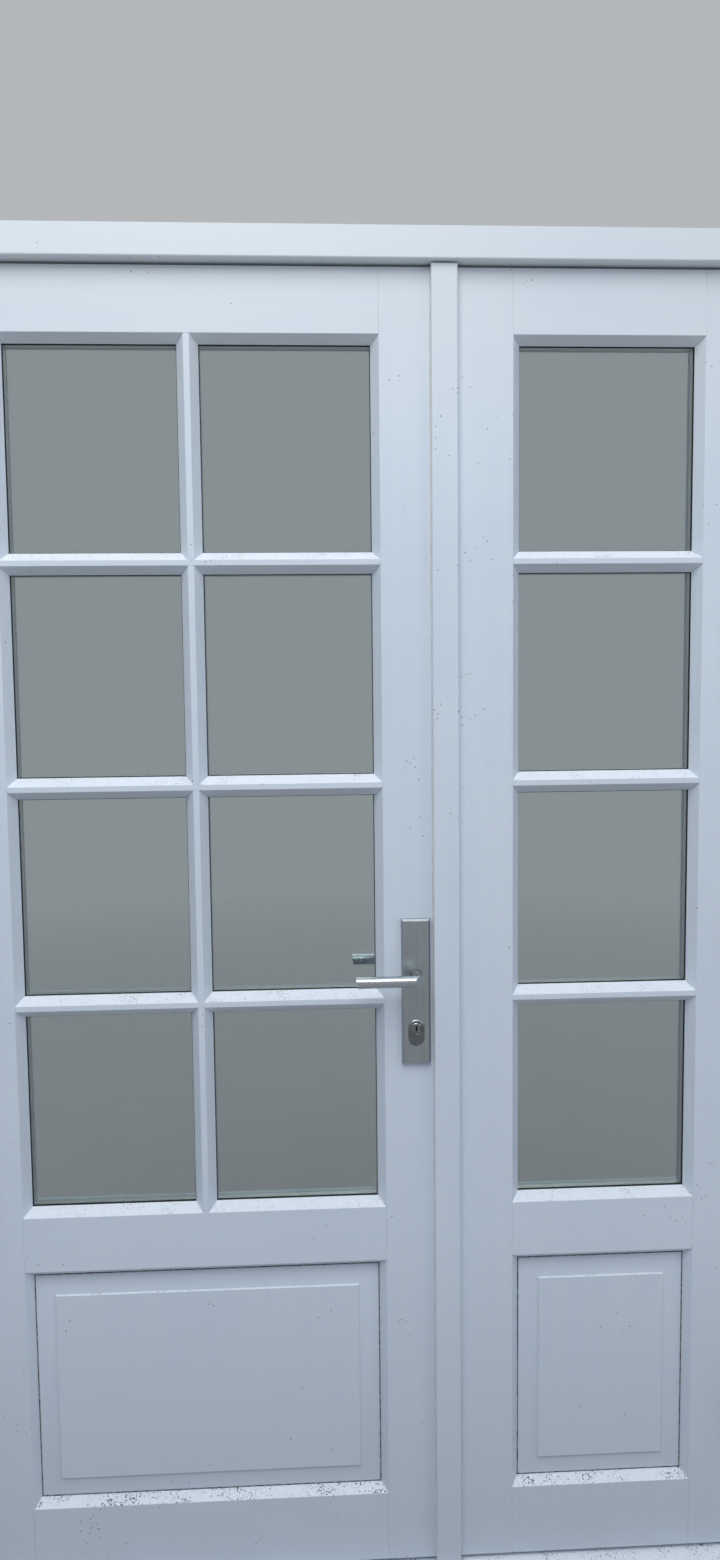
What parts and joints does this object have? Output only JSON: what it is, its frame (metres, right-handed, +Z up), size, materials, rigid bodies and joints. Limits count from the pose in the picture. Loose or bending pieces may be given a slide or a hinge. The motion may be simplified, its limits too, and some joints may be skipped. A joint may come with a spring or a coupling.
{
  "type": "french doors",
  "caption": "Outward-opening glazed timber french doors in their frame: a wide active leaf with lever lock and a narrow passive leaf with flush bolts, each over a raised panel",
  "frame": {"origin": "middle of the underside of the frame's threshold", "axes": "+Z is up and the longest extent, +X is to the right as seen from outside, +Y points inwards, so the frame is thinnest along Y"},
  "size_m": [1.364, 0.1654, 2.127],
  "materials": {
    "painted_timber": "smooth white paint, satin, slightly dirty",
    "glass": "clear float glass",
    "spacer_bar": "anodised, matt grey",
    "glazing_tape": "matt black foam tape",
    "seal_rubber": "soft grey rubber",
    "satin_steel": "satin stainless steel",
    "cylinder_chrome": "bright plated",
    "lock_steel": "plain zinc-plated steel",
    "hinge_steel": "satin stainless steel"
  },
  "bodies": {
    "frame": {"frame_head": "painted_timber", "frame_jamb_left": "painted_timber", "frame_jamb_right": "painted_timber", "threshold": "painted_timber", "frame_seal": "seal_rubber", "frame_hinge_leaves": "hinge_steel", "bolt_keeps": "satin_steel"},
    "active_leaf": {"active_top_rail": "painted_timber", "active_mid_rail": "painted_timber", "active_bottom_rail": "painted_timber", "active_cross_bars": "painted_timber", "active_upright_bars": "painted_timber", "active_panel": "painted_timber", "active_hinge_stile": "painted_timber", "active_lock_stile": "painted_timber", "active_glazing_beads": "painted_timber", "active_glazing_tapes": "glazing_tape", "active_outer_panes": "glass", "active_spacers": "spacer_bar", "active_inner_panes": "glass", "active_hinge_leaves": "hinge_steel", "cover_strip": "painted_timber", "lock_case": "lock_steel", "lock_faceplate": "satin_steel", "outside_plate": "satin_steel", "inside_plate": "satin_steel", "cylinder_body": "cylinder_chrome"},
    "passive_leaf": {"passive_top_rail": "painted_timber", "passive_mid_rail": "painted_timber", "passive_bottom_rail": "painted_timber", "passive_cross_bars": "painted_timber", "passive_panel": "painted_timber", "passive_hinge_stile": "painted_timber", "passive_meeting_stile": "painted_timber", "passive_glazing_beads": "painted_timber", "passive_glazing_tapes": "glazing_tape", "passive_outer_panes": "glass", "passive_spacers": "spacer_bar", "passive_inner_panes": "glass", "passive_hinge_leaves": "hinge_steel", "inner_cover_strip": "painted_timber", "meeting_seal": "seal_rubber", "strike_plate": "satin_steel", "flush_bolt_plates": "satin_steel"},
    "lever": {"outside_lever": "satin_steel", "inside_lever": "satin_steel", "spindle": "lock_steel", "follower": "lock_steel"},
    "latch": {"latch_bolt": "lock_steel"},
    "turn": {"cylinder_plug": "cylinder_chrome", "bolt_cam": "lock_steel", "thumbturn": "satin_steel"},
    "lock_bolt": {"deadbolt": "lock_steel"},
    "top_bolt": {"top_bolt_rod": "satin_steel"},
    "bottom_bolt": {"bottom_bolt_rod": "satin_steel"}
  },
  "joints": [
    {"name": "active_hinge", "type": "hinge", "parent": "frame", "child": "active_leaf", "pos_m": [-0.6335, -0.066, 1.081], "axis": [0, 0, -1], "range_deg": [0, 110]},
    {"name": "passive_hinge", "type": "hinge", "parent": "frame", "child": "passive_leaf", "pos_m": [0.6335, -0.066, 1.081], "axis": [0, 0, 1], "range_deg": [0, 110]},
    {"name": "lever_turn", "type": "hinge", "parent": "active_leaf", "child": "lever", "pos_m": [0.086, -0.0085, 1.01], "axis": [0, -1, 0], "range_deg": [0, 40], "stiffness_Nm_per_rad": 1.2, "springref_deg": -28.65},
    {"name": "latch_slide", "type": "slide", "parent": "active_leaf", "child": "latch", "axis": [-1, 0, 0], "range_m": [0, 0.012]},
    {"name": "turn_spin", "type": "hinge", "parent": "active_leaf", "child": "turn", "pos_m": [0.086, -0.0085, 0.925], "axis": [0, 1, 0], "range_deg": [0, 90]},
    {"name": "deadbolt_slide", "type": "slide", "parent": "active_leaf", "child": "lock_bolt", "axis": [1, 0, 0], "range_m": [0, 0.016]},
    {"name": "top_bolt_slide", "type": "slide", "parent": "passive_leaf", "child": "top_bolt", "axis": [0, 0, 1], "range_m": [0, 0.016]},
    {"name": "bottom_bolt_slide", "type": "slide", "parent": "passive_leaf", "child": "bottom_bolt", "axis": [0, 0, -1], "range_m": [0, 0.016]}
  ],
  "couplings": [
    {"joint": "passive_hinge", "follows": "active_hinge", "ratio": 1},
    {"joint": "latch_slide", "follows": "lever_turn", "m_per_rad": 0.017189},
    {"joint": "deadbolt_slide", "follows": "turn_spin", "m_per_rad": 0.010185}
  ]
}
